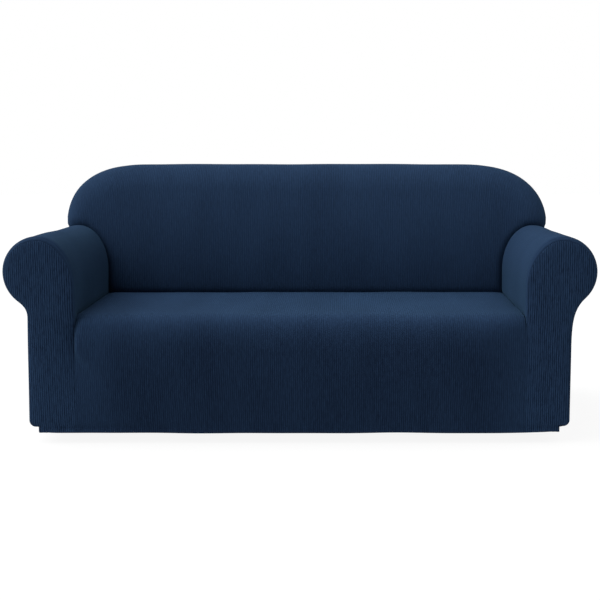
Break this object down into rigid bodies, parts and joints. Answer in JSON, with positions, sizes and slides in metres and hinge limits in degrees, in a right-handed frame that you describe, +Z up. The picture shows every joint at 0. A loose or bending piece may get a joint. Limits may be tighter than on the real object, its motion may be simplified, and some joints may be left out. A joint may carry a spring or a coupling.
{
  "type": "sofa slipcover",
  "caption": "Fitted stretch slipcover for a three-seat sofa with rolled arms, hollow and open below, in ribbed navy knit.",
  "frame": {"origin": "under the crown of the back, at the middle of its width and of its depth, on the cloth's inner face", "axes": "+X along the sofa's width, +Y from the seat to the back, +Z up"},
  "size_m": [1.9776, 0.9221, 0.883],
  "materials": {
    "cover_back": "matte ribbed stretch knit, navy",
    "cover_rear": "matte ribbed stretch knit, navy",
    "cover_seat": "matte ribbed stretch knit, navy",
    "cover_arm": "matte ribbed stretch knit, navy",
    "cover_arm_front": "matte ribbed stretch knit, navy"
  },
  "bodies": {
    "root": {"inside_back": "cover_back", "outside_back": "cover_rear", "seat_apron": "cover_seat", "arm_wrap_left": "cover_arm", "arm_wrap_right": "cover_arm", "arm_front_left": "cover_arm_front", "arm_front_right": "cover_arm_front"}
  },
  "joints": []
}
